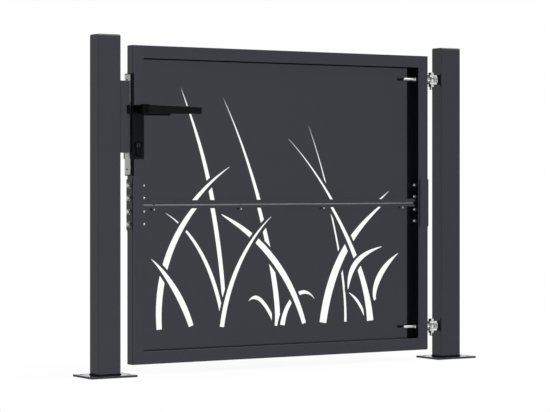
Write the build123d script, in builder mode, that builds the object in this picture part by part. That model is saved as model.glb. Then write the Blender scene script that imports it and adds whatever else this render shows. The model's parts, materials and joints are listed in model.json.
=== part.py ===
from build123d import *
import os
from math import cos, radians, sin, tan

# Steel garden gate: two posts on base plates, a leaf made of two bolted halves with a grass
# pattern cut into its sheet, two pin hinges and a lever lock with a profile cylinder.
# X runs along the gate with the hinges at +X. The front faces -Y. Z is up from the ground.
# The origin is on the ground, midway between the posts. All sizes are in millimetres.

# Posts
post_spread = 1050.0  # over the outer faces of both posts
post_width = 60.0
post_depth = 40.0
post_wall = 1.5
post_corner = 0.8  # outside corner radius
post_height = 798.0  # ground to the top of the cap
base_width = 120.0
base_depth = 95.0
base_thickness = 5.0
anchor_hole = 11.0
anchor_span_x = 90.0
anchor_span_y = 65.0
cap_thickness = 6.5
cap_round = 4.0
plug_length = 18.0
plug_wall = 2.0
plug_play = 0.2

# Leaf frame and sheet
latch_gap = 35.0  # lock post to leaf
hinge_gap = 38.0  # leaf to hinge post
ground_gap = 25.0
post_over = 23.0  # post above the leaf
tube_face = 30.0  # frame tube as seen from the front
tube_depth = 25.0
tube_wall = 1.5
tube_corner = 0.8
sheet = 2.0
sheet_inset = 0.5  # sheet edge in from the outside of the frame
seam_gap = 0.4
blade_width = 28.0  # widest common blade
blade_tip = 1.3  # width at the tip, added all along the blade
blade_gap = 7.0  # steel left standing where one blade passes another
grass_lift = 18.0  # grass of the upper half moved up past the seam

# Strips along the seam and channels over its ends
strip_wall = 2.0
strip_reach = 16.3  # from the sheet to the front of the lip
strip_bend = 1.5
upper_lip = 10.5  # from the seam
lower_lip = 9.2
strip_bolt_count = 4
strip_bolt_inset = 37.0  # first and last bolt in from the stiles
channel_height = 120.0
channel_wall = 2.0
channel_flange = 27.5
channel_bend = 0.5
inner_bolt_rise = 16.0  # channel bolts above and below the seam
outer_bolt_rise = 45.5

# Bolts and nuts of the leaf
bolt = 6.0
bolt_play = 0.6
bolt_flats = 10.0
bolt_head = 4.0
bolt_collar = 13.5
bolt_collar_height = 1.4
nut_height = 5.0
thread_fit = 0.05  # radial gap between a thread and its nut
countersink = 90.0  # cone angle of sunk screw heads, in degrees
bolt_tip = 3.6  # bolt beyond its nut
strip_bolt_tip = 6.3

# Hinges
hinge_inset = 59.5  # hinge centre in from the top and bottom of the leaf
pin_reach = 19.0  # pin axis to hinge post
pin = 8.0
pin_fit = 0.05
pin_flats = 13.0
pin_head = 6.4
pin_nut = 6.5
pin_tip = 7.4
eye_diameter = 18.0
eye_height = 13.5
eye_play = 0.3
rod_play = 0.5
rod_tip = 32.5  # rod beyond its inner nut
ear_thickness = 5.0
ear_width = 18.0
ear_nose = 11.0  # ears beyond the pin axis
ear_corner = 4.0
ear_web = 4.0
ear_screw = 6.0
ear_screw_head = 10.5
ear_screw_height = 2.5
ear_screw_taper = 20.0  # degrees
ear_screw_length = 14.0

# Lock
lever_swing = 35.0  # degrees from rest to fully down
cylinder_drop = 85.0  # spindle to cylinder
lock_gap = 8.4  # channel at the seam to the lock cover
cover_length = 240.0
cover_web = 5.0
cover_flange = 2.0
cover_lap = 2.6  # cover flanges over the stile
forend_length = 235.0
forend_width = 24.0
forend_thickness = 3.0
forend_screw = 3.0
forend_screw_head = 5.5
forend_screw_span = 210.0
forend_screw_length = 7.5
spindle_rise = 36.1  # spindle above the middle of the forend
case_over = 50.5  # case above the spindle
case_under = 34.5  # case below the cylinder axis
case_thickness = 15.0
case_wall = 1.5
case_play = 0.5  # case to the inner wall of the stile
cut_play = 0.3  # all round the lock parts that pass through a cut-out
bolt_side_play = 0.5  # latch and dead bolt between the case walls
spindle_size = 8.0
spindle_fit = 0.05
spindle_reach = 38.0  # either side of the middle of the gate
follower_radius = 10.0
follower_journal = 8.0
follower_play = 0.3
arm_width = 4.0
arm_play = 1.0  # arm to the lug that it draws
lug_thickness = 3.0
lug_lap = 0.65  # lug below the arm's tip at full swing
lug_end_play = 1.0
latch_throw = 9.0
latch_height = 26.0
latch_rise = 30.0  # latch above the spindle
latch_head = 22.0
latch_nose = 3.0  # flat left at the latch's tip
tail_height = 8.0
tail_rise = 24.5  # tail bar above the spindle
dead_bolt_height = 24.0
dead_bolt_rise = 43.5  # dead bolt above the cylinder
dead_bolt_length = 28.0
talon_length = 8.0
talon_drop = 8.0
barrel = 17.0  # profile cylinder
foot_width = 10.0
foot_drop = 24.5
cylinder_proud = 1.0
cylinder_gap = 2.0  # around the cylinder in the handle plates
plug = 12.0
plug_fit = 0.05
keyway_width = 1.8
keyway_height = 8.0
keyway_depth = 15.0
cam_gap = 10.0
cam_side_play = 0.3
cam_ring = 15.0
cam_reach = 13.0
cam_nose = 6.0
cam_room = 3.0

# Handles
plate_width = 32.5
plate_height = 128.0
plate_over = 11.0  # plate above the spindle
plate_thickness = 8.0
plate_corner = 3.0
plate_round = 1.5
plate_screw = 5.0
plate_screw_head = 9.0
plate_screw_grip = 4.5  # screw in the front plate
upper_screw_drop = 20.0  # below the spindle
lower_screw_rise = 18.0  # above the cylinder
collar = 14.5
collar_fit = 0.05
shoulder_play = 0.4  # lever shoulder to the plate
collar_play = 0.5  # collar end to the stile
neck = 19.0
grip_length = 145.9  # from the spindle
grip_depth = 13.0
grip_stand = 48.5  # plate face to the front of the grip
grip_height = 22.0
grip_end_height = 17.6
grip_end_drop = 1.7  # middle of the grip's end below the spindle
grip_outer_bend = 16.0
grip_inner_bend = 6.0
grip_end_corner = 3.5
grip_round = 3.0
elbow_land = 2.0  # straight stretch between neck and bend

# Strike box on the lock post
strike_gap = 1.3  # forend to strike
strike_over = 66.0  # box above the spindle
strike_height = 168.0
strike_wall = 2.0
strike_bend = 3.0
strike_margin = 1.5  # slots around latch and dead bolt

# Grass blades from the back of the clump to the front. Each has a foot, two bends and a tip,
# in percent of the clear opening across and up, and its width at the foot and both bends, in
# percent of the blade width.
blades = [
    ((30, 8), (27.5, 55.75), (18, 77), (14.5, 87.75), (30, 62, 20)),
    ((29, 9), (27.5, 20.25), (22, 38.75), (9.25, 47), (25, 45, 37)),
    ((74, 7), (74.5, 28.75), (65, 62.5), (60, 75.75), (24, 20, 12)),
    ((47.5, 8), (44.5, 14.75), (41, 19.5), (38, 15.5), (27, 35, 54)),
    ((48.5, 6.5), (50, 14), (44, 52.5), (29.25, 84.5), (49, 62, 37)),
    ((50.5, 6.75), (51.75, 16.25), (58.5, 22), (62.5, 15.5), (48, 43, 53)),
    ((81.5, 8.5), (80, 12.75), (78, 15.75), (75.25, 17.5), (15, 33, 30)),
    ((85.5, 14.5), (84.5, 15.75), (85, 24.5), (94.5, 31.5), (26, 41, 105)),
    ((65.5, 7), (69.5, 36.25), (84, 45.5), (90.75, 51.75), (72, 93, 31)),
    ((83.5, 7), (82, 30), (65, 58), (52.75, 70.5), (69, 45, 13)),
    ((75, 18.75), (75.5, 27), (79, 31.5), (88, 34), (6, 85, 54)),
    ((58.5, 7), (50.5, 35.75), (31, 44.5), (28.5, 46.5), (40, 81, 39)),
    ((28.75, 7), (32, 33), (46, 45), (46.5, 45.5), (42, 53, 4)),
    ((7, 7), (5, 36.75), (21.5, 53.5), (31.5, 60.5), (50, 83, 35)),
    ((18, 7.75), (13.5, 22), (5.5, 30.5), (4.25, 31.25), (45, 76, 10)),
]

# Places that several pieces share
post_centre = (post_spread - post_width) / 2
post_inner = post_spread / 2 - post_width
post_tube_length = post_height - base_thickness - cap_thickness

leaf_left = latch_gap - post_inner
leaf_right = post_inner - hinge_gap
leaf_bottom = ground_gap
leaf_top = post_height - post_over
leaf_height = leaf_top - leaf_bottom
leaf_front = -(tube_depth + sheet) / 2
leaf_back = -leaf_front
tube_back = leaf_front + tube_depth
tube_middle = leaf_front + tube_depth / 2
clear_left = leaf_left + tube_face
clear_right = leaf_right - tube_face
clear_bottom = leaf_bottom + tube_face
clear_top = leaf_top - tube_face
seam = (leaf_bottom + leaf_top) / 2

strip_lip_back = tube_back - strip_reach + strip_wall
strip_bolt_y = (strip_lip_back + tube_back) / 2
strip_bolt_step = (clear_right - clear_left - 2 * strip_bolt_inset) / (strip_bolt_count - 1)
strip_bolts = [
    (clear_left + strip_bolt_inset + step * strip_bolt_step, strip_bolt_y)
    for step in range(strip_bolt_count)
]
channel_bolt_rises = (inner_bolt_rise, outer_bolt_rise)
bolt_hole = bolt + bolt_play

pin_x = post_inner - pin_reach
ear_gap = eye_height + 2 * eye_play
ear_top = ear_gap / 2 + ear_thickness
rod_hole = pin + rod_play

cover_bottom = seam + channel_height / 2 + lock_gap
cover_face = leaf_left - cover_web
forend_middle = cover_bottom + cover_length / 2
forend_face = cover_face - forend_thickness
spindle_z = forend_middle + spindle_rise
cylinder_z = spindle_z - cylinder_drop
upper_screw_z = spindle_z - upper_screw_drop
lower_screw_z = cylinder_z + lower_screw_rise
case_back = clear_left - tube_wall - case_play
case_bottom = cylinder_z - case_under
case_height = spindle_z + case_over - case_bottom
case_depth = case_back - cover_face
case_front = tube_middle - case_thickness / 2
lid_front = tube_middle + case_thickness / 2 - case_wall
lock_x = case_back - case_wall - lug_end_play - latch_throw - lug_thickness - arm_play - arm_width / 2
bolt_thickness = case_thickness - 2 * case_wall - 2 * bolt_side_play
arm_reach = latch_throw / sin(radians(lever_swing))
latch_z = spindle_z + latch_rise
dead_bolt_z = cylinder_z + dead_bolt_rise
plate_face = leaf_front - plate_thickness
plate_middle = spindle_z + plate_over - plate_height / 2
strike_face = forend_face - strike_gap


os.makedirs("parts", exist_ok=True)


def save(builder, label):
    builder.part.label = label
    export_step(builder.part, f"parts/{label}.step")


# Planes whose sketches read as X and Z, as Y and Z, and as X and Y
def front_plane(y):
    return Plane(origin=(0, y, 0), x_dir=(1, 0, 0), z_dir=(0, -1, 0))


def side_plane(x):
    return Plane(origin=(x, 0, 0), x_dir=(0, 1, 0), z_dir=(1, 0, 0))


def level_plane(z):
    return Plane.XY.offset(z)


# A plane that faces along X at a point, for the seat of a bolt head or a nut
def seat_along_x(x, y, z, facing):
    return Plane(origin=(x, y, z), x_dir=(0, 0, 1), z_dir=(facing, 0, 0))


def seat_along_y(x, y, z, facing):
    return Plane(origin=(x, y, z), x_dir=(1, 0, 0), z_dir=(0, facing, 0))


def seat_along_z(x, y, z, facing):
    return Plane(origin=(x, y, z), x_dir=(1, 0, 0), z_dir=(0, 0, facing))


# Cross-section of a welded rectangular tube
def tube_profile(width, depth, wall, corner):
    RectangleRounded(width, depth, corner)
    Rectangle(width - 2 * wall, depth - 2 * wall, mode=Mode.SUBTRACT)


# Outline of the profile cylinder: a round barrel over a narrow foot
def cylinder_profile(margin=0.0):
    Circle(barrel / 2 + margin)
    foot_middle = foot_drop - foot_width / 2
    with Locations((0, -foot_middle / 2)):
        SlotCenterToCenter(foot_middle, foot_width + 2 * margin, rotation=90)


# What passes through the lock stile from front to back
def lock_openings(spindle_opening, margin):
    with Locations((lock_x, spindle_z)):
        Circle(spindle_opening)
    with Locations((lock_x, cylinder_z)):
        cylinder_profile(margin)
    with Locations((lock_x, upper_screw_z), (lock_x, lower_screw_z)):
        Circle(plate_screw / 2 + margin)


# Both long edges of a blade, and the same edges moved out by a margin
def blade_outline(blade, lift, margin=0.0):
    points = [
        Vector(
            clear_left + (clear_right - clear_left) * across / 100,
            clear_bottom + (clear_top - clear_bottom) * up / 100 + lift,
        )
        for across, up in blade[:4]
    ]
    foot, low, high, tip = points
    headings = [low - foot, high - foot, tip - low, tip - low]
    half_widths = [(blade_width * share / 100 + blade_tip) / 2 + margin for share in blade[4]]
    half_widths.append(blade_tip / 2 + margin)
    points[0] = foot - headings[0].normalized() * margin
    points[3] = tip + headings[3].normalized() * margin
    left = []
    right = []
    for point, heading, half_width in zip(points, headings, half_widths):
        across = heading.normalized().rotate(Axis.Z, 90) * half_width
        left.append(point + across)
        right.append(point - across)
    Bezier(*left)
    Bezier(*right)
    Line(left[0], right[0])
    Line(left[3], right[3])


# Hexagon bolts with their heads on the given seats
def hex_bolts(label, seats, diameter, flats, head, length, washer=0.0, washer_height=0.0):
    with BuildPart() as bolts:
        with BuildSketch(*seats):
            RegularPolygon(flats / 2, 6, major_radius=False)
        extrude(amount=head + washer_height)
        if washer > 0:
            with BuildSketch(*seats):
                Circle(washer / 2)
            extrude(amount=washer_height)
        with BuildSketch(*seats):
            Circle(diameter / 2)
        extrude(amount=-length)
    save(bolts, label)


def hex_nuts(label, seats, diameter, flats, height):
    with BuildPart() as nuts:
        with BuildSketch(*seats):
            RegularPolygon(flats / 2, 6, major_radius=False)
            Circle(diameter / 2 + thread_fit, mode=Mode.SUBTRACT)
        extrude(amount=height)
    save(nuts, label)


def countersunk_screws(label, seats, diameter, head, length):
    with BuildPart() as screws:
        with BuildSketch(*seats):
            Circle(head / 2)
        extrude(amount=-(head - diameter) / 2 / tan(radians(countersink / 2)), taper=countersink / 2)
        with BuildSketch(*seats):
            Circle(diameter / 2)
        extrude(amount=-length)
    save(screws, label)


# Posts with their base plates and caps
for name, side in (("lock_post", -1), ("hinge_post", 1)):
    with BuildPart() as post_tube:
        with BuildSketch(level_plane(base_thickness)):
            with Locations((side * post_centre, 0)):
                tube_profile(post_width, post_depth, post_wall, post_corner)
        extrude(amount=post_tube_length)
        if side > 0:
            with BuildSketch(side_plane(post_inner)):
                for hinge_z in (leaf_bottom + hinge_inset, leaf_top - hinge_inset):
                    with Locations((tube_middle, hinge_z)):
                        Circle(ear_screw / 2 + thread_fit)
            extrude(amount=post_wall, mode=Mode.SUBTRACT)
    save(post_tube, f"{name}_tube")

    with BuildPart() as base:
        with BuildSketch():
            with Locations((side * post_centre, 0)):
                Rectangle(base_width, base_depth)
                with GridLocations(anchor_span_x, anchor_span_y, 2, 2):
                    Circle(anchor_hole / 2, mode=Mode.SUBTRACT)
        extrude(amount=base_thickness)
    save(base, f"{name}_base")

    with BuildPart() as cap:
        with BuildSketch(level_plane(post_height - cap_thickness)):
            with Locations((side * post_centre, 0)):
                RectangleRounded(post_width, post_depth, post_corner)
        extrude(amount=cap_thickness)
        with BuildSketch(front_plane(0)):
            with Locations((side * post_centre, post_height - cap_thickness)):
                RectangleRounded(post_width, 2 * cap_thickness, cap_round)
        extrude(amount=post_depth / 2, both=True, mode=Mode.INTERSECT)
        with BuildSketch(side_plane(side * post_centre)):
            with Locations((0, post_height - cap_thickness)):
                RectangleRounded(post_depth, 2 * cap_thickness, cap_round)
        extrude(amount=post_width / 2, both=True, mode=Mode.INTERSECT)
        with BuildSketch(level_plane(post_height - cap_thickness)):
            with Locations((side * post_centre, 0)):
                plug_inset = post_wall + plug_play
                tube_profile(
                    post_width - 2 * plug_inset, post_depth - 2 * plug_inset, plug_wall, post_corner
                )
        extrude(amount=-plug_length)
    save(cap, f"{name}_cap")

# Strike box, open towards the post, with a slot for the latch and one for the dead bolt
with BuildPart() as strike_box:
    strike_middle = spindle_z + strike_over - strike_height / 2
    strike_depth = strike_face + post_inner
    with BuildSketch(side_plane(-post_inner)):
        with Locations((0, strike_middle)):
            Rectangle(post_depth, strike_height)
    extrude(amount=strike_depth)
    fillet(strike_box.faces().sort_by(Axis.X)[-1].edges().filter_by(Axis.Z), strike_bend)
    with BuildSketch(side_plane(-post_inner)):
        with Locations((0, strike_middle)):
            Rectangle(post_depth - 2 * strike_wall, strike_height - 2 * strike_wall)
    extrude(amount=strike_depth - strike_wall, mode=Mode.SUBTRACT)
    with BuildSketch(side_plane(strike_face)):
        slot_width = bolt_thickness + 2 * strike_margin
        with Locations((tube_middle, latch_z)):
            Rectangle(slot_width, latch_height + 2 * strike_margin)
        with Locations((tube_middle, dead_bolt_z)):
            Rectangle(slot_width, dead_bolt_height + 2 * strike_margin)
    extrude(amount=-strike_wall, mode=Mode.SUBTRACT)
save(strike_box, "strike_box")

# Hinges: a folded bracket on the post, a pin with its nut, and an eye on a threaded rod
ear_screw_seats = []
rod_nut_seats = []
for name, hinge_z in (("upper", leaf_top - hinge_inset), ("lower", leaf_bottom + hinge_inset)):
    with BuildPart() as hinge_bracket:
        with BuildSketch(level_plane(hinge_z - ear_top)):
            ear_length = pin_reach + ear_nose
            with Locations((post_inner - ear_length / 2, tube_middle)):
                Rectangle(ear_length, ear_width)
        extrude(amount=2 * ear_top)
        fillet(hinge_bracket.edges().filter_by(Axis.Z).group_by(Axis.X)[0], ear_corner)
        with BuildSketch(level_plane(hinge_z - ear_gap / 2)):
            with Locations((post_inner - ear_web - ear_length / 2, tube_middle)):
                Rectangle(ear_length, ear_width)
        extrude(amount=ear_gap, mode=Mode.SUBTRACT)
        with Locations((pin_x, tube_middle, hinge_z)):
            Hole(pin / 2 + pin_fit)
        with BuildSketch(side_plane(post_inner)):
            with Locations((tube_middle, hinge_z)):
                Circle(ear_screw / 2 + thread_fit)
        extrude(amount=-ear_web, mode=Mode.SUBTRACT)
    save(hinge_bracket, f"{name}_hinge_bracket")

    pin_seat = seat_along_z(pin_x, tube_middle, hinge_z + ear_top, 1)
    pin_length = 2 * ear_top + pin_nut + pin_tip
    hex_bolts(f"{name}_hinge_pin", [pin_seat], pin, pin_flats, pin_head, pin_length)
    nut_seat = seat_along_z(pin_x, tube_middle, hinge_z - ear_top, -1)
    hex_nuts(f"{name}_hinge_pin_nut", [nut_seat], pin, pin_flats, pin_nut)

    with BuildPart() as hinge_eye:
        with BuildSketch(level_plane(hinge_z - eye_height / 2)):
            with Locations((pin_x, tube_middle)):
                Circle(eye_diameter / 2)
        extrude(amount=eye_height)
        with BuildSketch(side_plane(pin_x)):
            with Locations((tube_middle, hinge_z)):
                Circle(pin / 2)
        extrude(amount=clear_right - pin_nut - rod_tip - pin_x)
        with Locations((pin_x, tube_middle, hinge_z)):
            Hole(pin / 2 + pin_fit)
    save(hinge_eye, f"{name}_hinge_eye")

    rod_nut_seats.append(seat_along_x(clear_right, tube_middle, hinge_z, -1))
    rod_nut_seats.append(seat_along_x(leaf_right, tube_middle, hinge_z, 1))
    ear_screw_seats.append(seat_along_x(post_inner - ear_web, tube_middle, hinge_z, -1))

hex_nuts("hinge_rod_nuts", rod_nut_seats, pin, pin_flats, pin_nut)

with BuildPart() as hinge_bracket_screws:
    with BuildSketch(*ear_screw_seats):
        Circle(ear_screw_head / 2)
    extrude(amount=ear_screw_height, taper=ear_screw_taper)
    with BuildSketch(*ear_screw_seats):
        Circle(ear_screw / 2)
    extrude(amount=-ear_screw_length)
save(hinge_bracket_screws, "hinge_bracket_screws")


# Leaf frame. Rails and stiles meet on a mitre at each corner.
def mitre(side, end):
    corner = (leaf_right if side > 0 else leaf_left, 0, leaf_top if end > 0 else leaf_bottom)
    return Plane(origin=corner, z_dir=(-side, 0, end))


for name, end in (("top", 1), ("bottom", -1)):
    with BuildPart() as rail:
        rail_middle = seam + end * (leaf_height - tube_face) / 2
        with BuildSketch(side_plane(leaf_left)):
            with Locations((tube_middle, rail_middle)):
                tube_profile(tube_depth, tube_face, tube_wall, tube_corner)
        extrude(amount=leaf_right - leaf_left)
        split(bisect_by=mitre(-1, end), keep=Keep.TOP)
        split(bisect_by=mitre(1, end), keep=Keep.TOP)
    save(rail, f"{name}_rail")

for half, end in (("upper", 1), ("lower", -1)):
    for edge, side in (("lock", -1), ("hinge", 1)):
        stile_face = leaf_right if side > 0 else leaf_left
        with BuildPart() as stile:
            with BuildSketch(level_plane(seam + end * seam_gap / 2)):
                with Locations((stile_face - side * tube_face / 2, tube_middle)):
                    tube_profile(tube_face, tube_depth, tube_wall, tube_corner)
            extrude(amount=end * (leaf_height - seam_gap) / 2)
            split(bisect_by=mitre(side, end), keep=Keep.BOTTOM)
            with BuildSketch(side_plane(stile_face)):
                with Locations(*[(tube_middle, seam + end * rise) for rise in channel_bolt_rises]):
                    Circle(bolt_hole / 2)
                if edge == "hinge":
                    with Locations((tube_middle, seam + end * (leaf_height / 2 - hinge_inset))):
                        Circle(rod_hole / 2)
            extrude(amount=-side * tube_face, mode=Mode.SUBTRACT)
            if (half, edge) == ("upper", "lock"):
                with BuildSketch(side_plane(leaf_left)):
                    with Locations((tube_middle, case_bottom + case_height / 2)):
                        Rectangle(case_thickness + 2 * cut_play, case_height + 2 * cut_play)
                extrude(amount=tube_wall, mode=Mode.SUBTRACT)
                with BuildSketch(front_plane(leaf_front)):
                    lock_openings(collar / 2, cut_play)
                extrude(amount=-tube_depth, mode=Mode.SUBTRACT)
        save(stile, f"{half}_{edge}_stile")

# Sheets with the grass cut through them, one for each half of the leaf
for half, keep, edge_z, lift in (
    ("upper", Keep.TOP, seam + seam_gap / 2, grass_lift),
    ("lower", Keep.BOTTOM, seam - seam_gap / 2, 0.0),
):
    with BuildPart() as panel:
        with BuildSketch(front_plane(leaf_back)):
            with Locations(((leaf_left + leaf_right) / 2, seam)):
                Rectangle(leaf_right - leaf_left - 2 * sheet_inset, leaf_height - 2 * sheet_inset)
            for blade in blades:
                with BuildLine():
                    blade_outline(blade, lift, blade_gap)
                make_face()
                with BuildLine():
                    blade_outline(blade, lift)
                make_face(mode=Mode.SUBTRACT)
        extrude(amount=sheet)
        split(bisect_by=level_plane(edge_z), keep=keep)
        if half == "upper":
            with BuildSketch(front_plane(leaf_back)):
                lock_openings(collar / 2, cut_play)
            extrude(amount=sheet, mode=Mode.SUBTRACT)
    save(panel, f"{half}_panel")

# Folded strips that stiffen the seam, bolted to each other
for half, end, lip in (("upper", 1, upper_lip), ("lower", -1, lower_lip)):
    with BuildPart() as seam_strip:
        with BuildSketch(side_plane(clear_left)):
            with BuildLine():
                flange_z = seam + end * (seam_gap + strip_wall) / 2
                lip_y = strip_lip_back - strip_wall / 2
                FilletPolyline(
                    (tube_back, flange_z),
                    (lip_y, flange_z),
                    (lip_y, seam + end * lip),
                    radius=strip_bend + strip_wall / 2,
                )
            trace(line_width=strip_wall)
        extrude(amount=clear_right - clear_left)
        with Locations(*[(x, y, seam) for x, y in strip_bolts]):
            Hole(bolt_hole / 2)
    save(seam_strip, f"{half}_seam_strip")

strip_flange = seam_gap / 2 + strip_wall
hex_bolts(
    "seam_strip_bolts",
    [seat_along_z(x, y, seam + strip_flange, 1) for x, y in strip_bolts],
    bolt,
    bolt_flats,
    bolt_head,
    2 * strip_flange + nut_height + strip_bolt_tip,
)
hex_nuts(
    "seam_strip_nuts",
    [seat_along_z(x, y, seam - strip_flange, -1) for x, y in strip_bolts],
    bolt,
    bolt_flats,
    nut_height,
)

# Channels that clasp the stiles over the seam
channel_bolt_seats = []
channel_nut_seats = []
for edge, side, stile_face, inner_face in (
    ("lock", -1, leaf_left, clear_left),
    ("hinge", 1, leaf_right, clear_right),
):
    bolt_rises = [end * rise for end in (-1, 1) for rise in channel_bolt_rises]
    with BuildPart() as channel:
        with BuildSketch(level_plane(seam - channel_height / 2)):
            with BuildLine():
                web_x = stile_face + side * channel_wall / 2
                flange_end = stile_face + side * (channel_wall - channel_flange)
                flange_y = leaf_back + channel_wall / 2
                FilletPolyline(
                    (flange_end, -flange_y),
                    (web_x, -flange_y),
                    (web_x, flange_y),
                    (flange_end, flange_y),
                    radius=channel_bend + channel_wall / 2,
                )
            trace(line_width=channel_wall)
        extrude(amount=channel_height)
        with BuildSketch(side_plane(stile_face)):
            with Locations(*[(tube_middle, seam + rise) for rise in bolt_rises]):
                Circle(bolt_hole / 2)
        extrude(amount=side * channel_wall, mode=Mode.SUBTRACT)
    save(channel, f"{edge}_side_channel")
    for rise in bolt_rises:
        head_x = stile_face + side * channel_wall
        channel_bolt_seats.append(seat_along_x(head_x, tube_middle, seam + rise, side))
        channel_nut_seats.append(seat_along_x(inner_face, tube_middle, seam + rise, -side))

hex_bolts(
    "channel_bolts",
    channel_bolt_seats,
    bolt,
    bolt_flats,
    bolt_head,
    channel_wall + tube_face + nut_height + bolt_tip,
    bolt_collar,
    bolt_collar_height,
)
hex_nuts("channel_nuts", channel_nut_seats, bolt, bolt_flats, nut_height)

# Cover around the edge of the lock stile, and the lock's forend on it
forend_screw_spots = [
    (tube_middle, forend_middle + end * forend_screw_span / 2) for end in (-1, 1)
]
forend_screw_seats = [seat_along_x(forend_face, y, z, -1) for y, z in forend_screw_spots]

with BuildPart() as lock_cover:
    with BuildSketch(level_plane(cover_bottom)):
        cover_depth = cover_web + cover_lap
        with Locations((cover_face + cover_depth / 2, 0)):
            Rectangle(cover_depth, 2 * (leaf_back + cover_flange))
        with Locations((leaf_left + cover_lap / 2, 0)):
            Rectangle(cover_lap, 2 * leaf_back, mode=Mode.SUBTRACT)
    extrude(amount=cover_length)
    with BuildSketch(side_plane(cover_face)):
        with Locations((tube_middle, case_bottom + case_height / 2)):
            Rectangle(case_thickness + 2 * cut_play, case_height + 2 * cut_play)
        with Locations(*forend_screw_spots):
            Circle(forend_screw / 2 + thread_fit)
    extrude(amount=cover_web, mode=Mode.SUBTRACT)
    with BuildSketch(front_plane(leaf_back + cover_flange)):
        lock_openings(collar / 2, cut_play)
    extrude(amount=2 * (leaf_back + cover_flange), mode=Mode.SUBTRACT)
save(lock_cover, "lock_cover")

with BuildPart() as forend:
    with BuildSketch(side_plane(forend_face)):
        with Locations((tube_middle, forend_middle)):
            Rectangle(forend_width, forend_length)
        with Locations((tube_middle, latch_z)):
            Rectangle(bolt_thickness + 2 * cut_play, latch_height + 2 * cut_play, mode=Mode.SUBTRACT)
        with Locations((tube_middle, dead_bolt_z)):
            Rectangle(
                bolt_thickness + 2 * cut_play, dead_bolt_height + 2 * cut_play, mode=Mode.SUBTRACT
            )
    extrude(amount=forend_thickness)
    with Locations(*forend_screw_seats):
        CounterSinkHole(
            forend_screw / 2 + thread_fit,
            forend_screw_head / 2 + thread_fit,
            counter_sink_angle=countersink,
        )
save(forend, "forend")
countersunk_screws(
    "forend_screws", forend_screw_seats, forend_screw, forend_screw_head, forend_screw_length
)

# Lock case with its lid
case_middle = (cover_face + case_depth / 2, case_bottom + case_height / 2)
with BuildPart() as lock_case:
    with BuildSketch(front_plane(case_front)):
        with Locations(case_middle):
            Rectangle(case_depth, case_height)
    extrude(amount=case_front - lid_front)
    with BuildSketch(front_plane(lid_front)):
        with Locations((case_middle[0] - case_wall / 2, case_middle[1])):
            Rectangle(case_depth - case_wall, case_height - 2 * case_wall)
    extrude(amount=lid_front - case_front - case_wall, mode=Mode.SUBTRACT)
    with BuildSketch(front_plane(case_front)):
        lock_openings(follower_journal, cut_play)
    extrude(amount=-case_wall, mode=Mode.SUBTRACT)
save(lock_case, "lock_case")

with BuildPart() as lock_case_lid:
    with BuildSketch(front_plane(lid_front)):
        with Locations(case_middle):
            Rectangle(case_depth, case_height)
    extrude(amount=-case_wall)
    with BuildSketch(front_plane(lid_front)):
        lock_openings(follower_journal, cut_play)
    extrude(amount=-case_wall, mode=Mode.SUBTRACT)
save(lock_case_lid, "lock_case_lid")

# Latch: a bevelled head, and a tail bar with the lug that the follower's arm draws back
with BuildPart() as latch_bolt:
    latch_tip = forend_face - latch_throw
    latch_front = tube_middle - bolt_thickness / 2
    latch_back = tube_middle + bolt_thickness / 2
    lug_left = lock_x + arm_width / 2 + arm_play
    lug_bottom = spindle_z + arm_reach * cos(radians(lever_swing)) - lug_lap
    with BuildSketch(level_plane(latch_z - latch_height / 2)):
        with BuildLine():
            Polyline(
                (latch_tip, latch_back),
                (latch_tip, latch_back - latch_nose),
                (forend_face, latch_front),
                (latch_tip + latch_head, latch_front),
                (latch_tip + latch_head, latch_back),
                close=True,
            )
        make_face()
    extrude(amount=latch_height)
    with BuildSketch(front_plane(latch_back)):
        with BuildLine():
            tail_bottom = spindle_z + tail_rise - tail_height / 2
            Polyline(
                (latch_tip + latch_head, tail_bottom + tail_height),
                (lug_left + lug_thickness, tail_bottom + tail_height),
                (lug_left + lug_thickness, lug_bottom),
                (lug_left, lug_bottom),
                (lug_left, tail_bottom),
                (latch_tip + latch_head, tail_bottom),
                close=True,
            )
        make_face()
    extrude(amount=bolt_thickness)
save(latch_bolt, "latch_bolt")

# Dead bolt, flush with the forend, with a talon for the cam below it
with BuildPart() as dead_bolt:
    with BuildSketch(front_plane(tube_middle + bolt_thickness / 2)):
        with Locations((forend_face + dead_bolt_length / 2, dead_bolt_z)):
            Rectangle(dead_bolt_length, dead_bolt_height)
        talon_x = forend_face + dead_bolt_length - talon_length / 2
        with Locations((talon_x, dead_bolt_z - dead_bolt_height / 2 - talon_drop / 2)):
            Rectangle(talon_length, talon_drop)
    extrude(amount=bolt_thickness)
save(dead_bolt, "dead_bolt")

# Profile cylinder with a gap for its cam, and the plug and cam that turn in it
with BuildPart() as lock_cylinder:
    cylinder_end = plate_face - cylinder_proud
    with BuildSketch(front_plane(cylinder_end)):
        with Locations((lock_x, cylinder_z)):
            cylinder_profile()
            Circle(plug / 2, mode=Mode.SUBTRACT)
    extrude(amount=2 * cylinder_end)
    with BuildSketch(front_plane(tube_middle - cam_gap / 2)):
        gap_drop = cam_reach + cam_room
        with Locations((lock_x, cylinder_z + (barrel / 2 - gap_drop) / 2)):
            Rectangle(barrel, barrel / 2 + gap_drop)
    extrude(amount=-cam_gap, mode=Mode.SUBTRACT)
save(lock_cylinder, "lock_cylinder")

with BuildPart() as cylinder_plug:
    with BuildSketch(front_plane(cylinder_end)):
        with Locations((lock_x, cylinder_z)):
            Circle(plug / 2 - plug_fit)
    extrude(amount=2 * cylinder_end)
    with BuildSketch(front_plane(cylinder_end), front_plane(-cylinder_end - keyway_depth)):
        with Locations((lock_x, cylinder_z)):
            Rectangle(keyway_width, keyway_height)
    extrude(amount=-keyway_depth, mode=Mode.SUBTRACT)
save(cylinder_plug, "cylinder_plug")

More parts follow.
